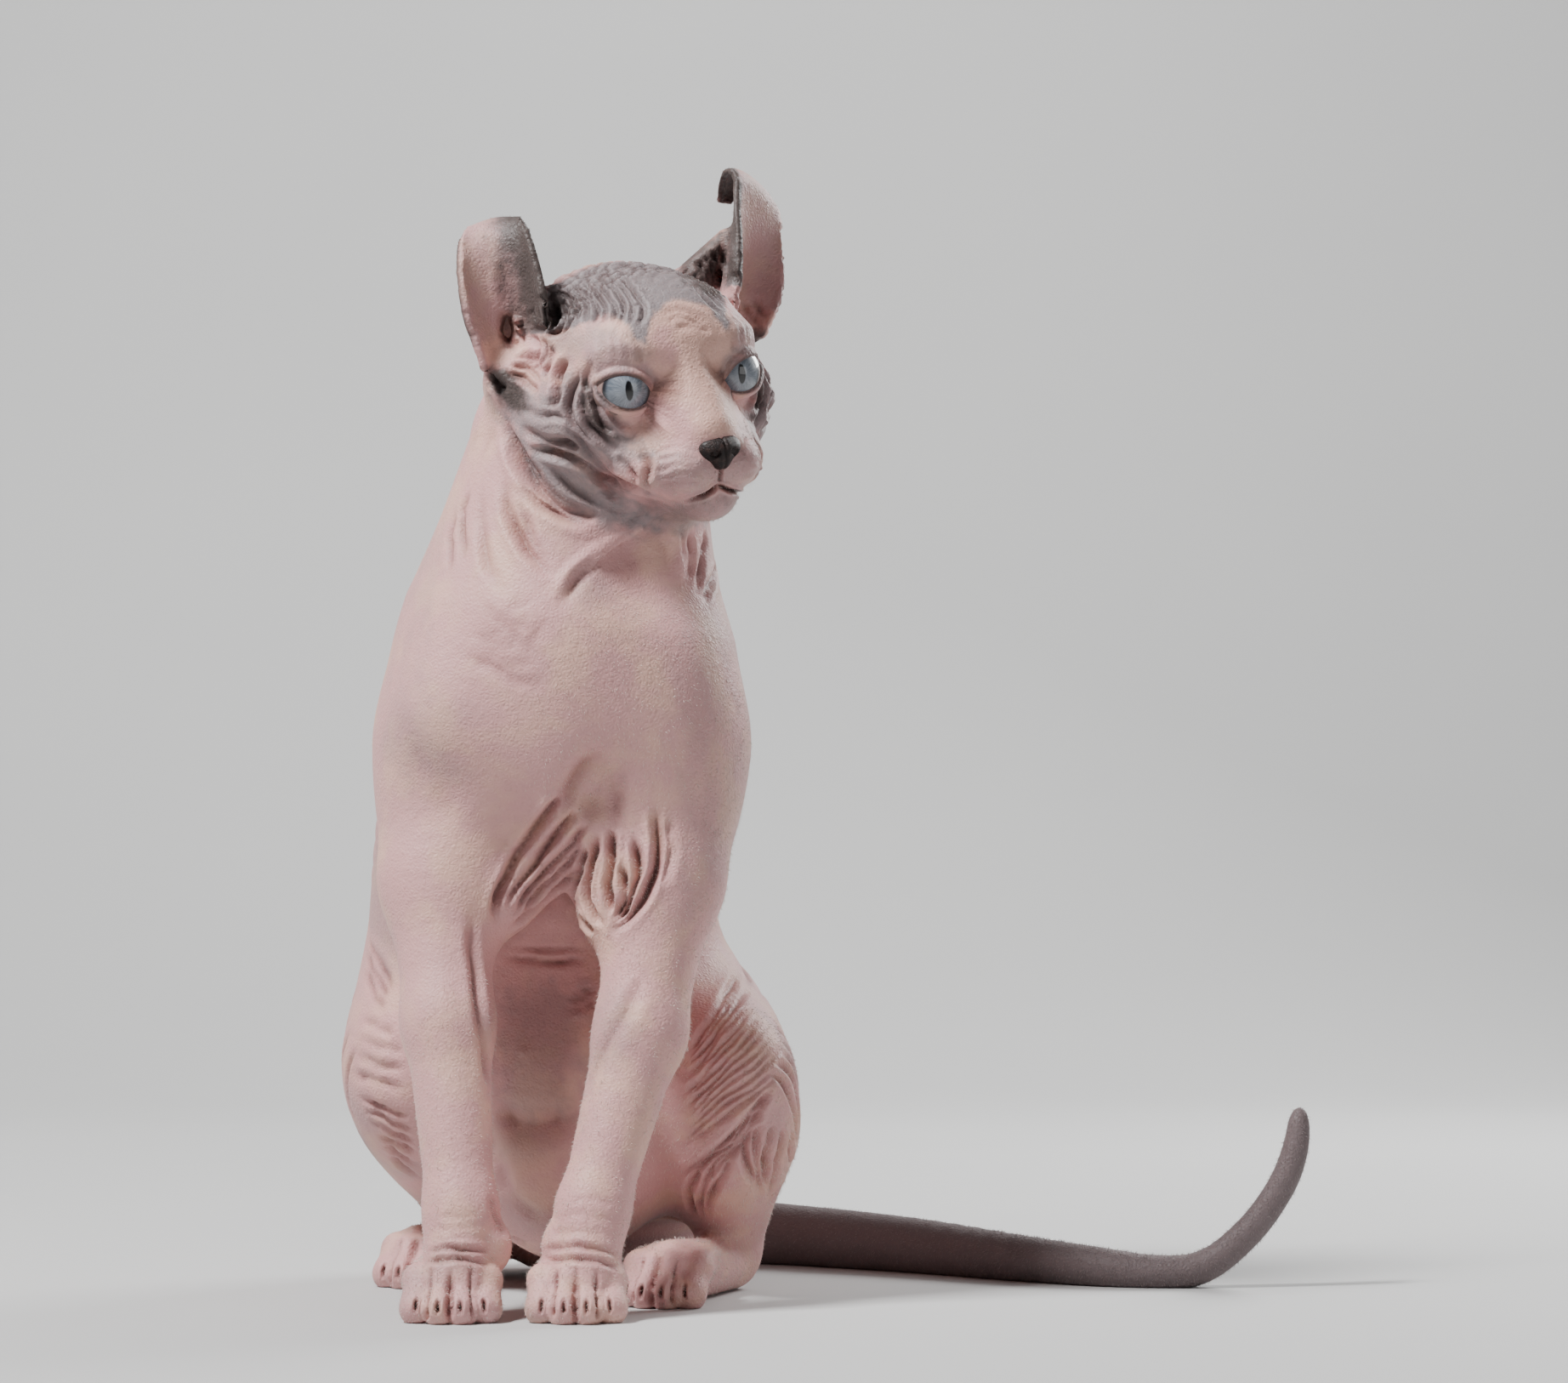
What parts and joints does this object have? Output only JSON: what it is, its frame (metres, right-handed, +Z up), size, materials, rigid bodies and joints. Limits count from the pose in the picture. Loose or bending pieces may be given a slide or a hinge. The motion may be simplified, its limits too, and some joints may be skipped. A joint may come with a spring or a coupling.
{
  "type": "seated hairless cat model",
  "caption": "Still, life-size model of a seated hairless cat with curled-back ears, its head turned to its left and its tail laid along the floor.",
  "frame": {"origin": "on the floor, in the flat under the pelvis", "axes": "+Z up; -Y where the chest faces, so +Y is the cat's back; +X the cat's left, where the tail lies"},
  "size_m": [0.3782, 0.2739, 0.4346],
  "materials": {
    "skin": "bare, wrinkled pink skin with grey patches and a very fine down, matte with a faint sheen",
    "ear_skin": "thin bare ear skin, pink inside and grey-brown at the back",
    "tail_skin": "mauve-grey skin with a short down",
    "nose_leather": "dark brown, finely grained and slightly moist",
    "eye": "pale blue iris with a narrow upright pupil, under a clear wet surface"
  },
  "bodies": {
    "root": {"head": "skin", "nose": "nose_leather", "ear_right": "ear_skin", "ear_left": "ear_skin", "eye_right": "eye", "eye_left": "eye", "neck": "skin", "chest": "skin", "loin_and_pelvis": "skin", "foreleg_right": "skin", "foreleg_left": "skin", "forepaw_right": "skin", "forepaw_left": "skin", "haunch_right": "skin", "haunch_left": "skin", "hindfoot_right": "skin", "hindfoot_left": "skin", "tail_root": "tail_skin", "tail_middle": "tail_skin", "tail_end": "tail_skin"}
  },
  "joints": []
}
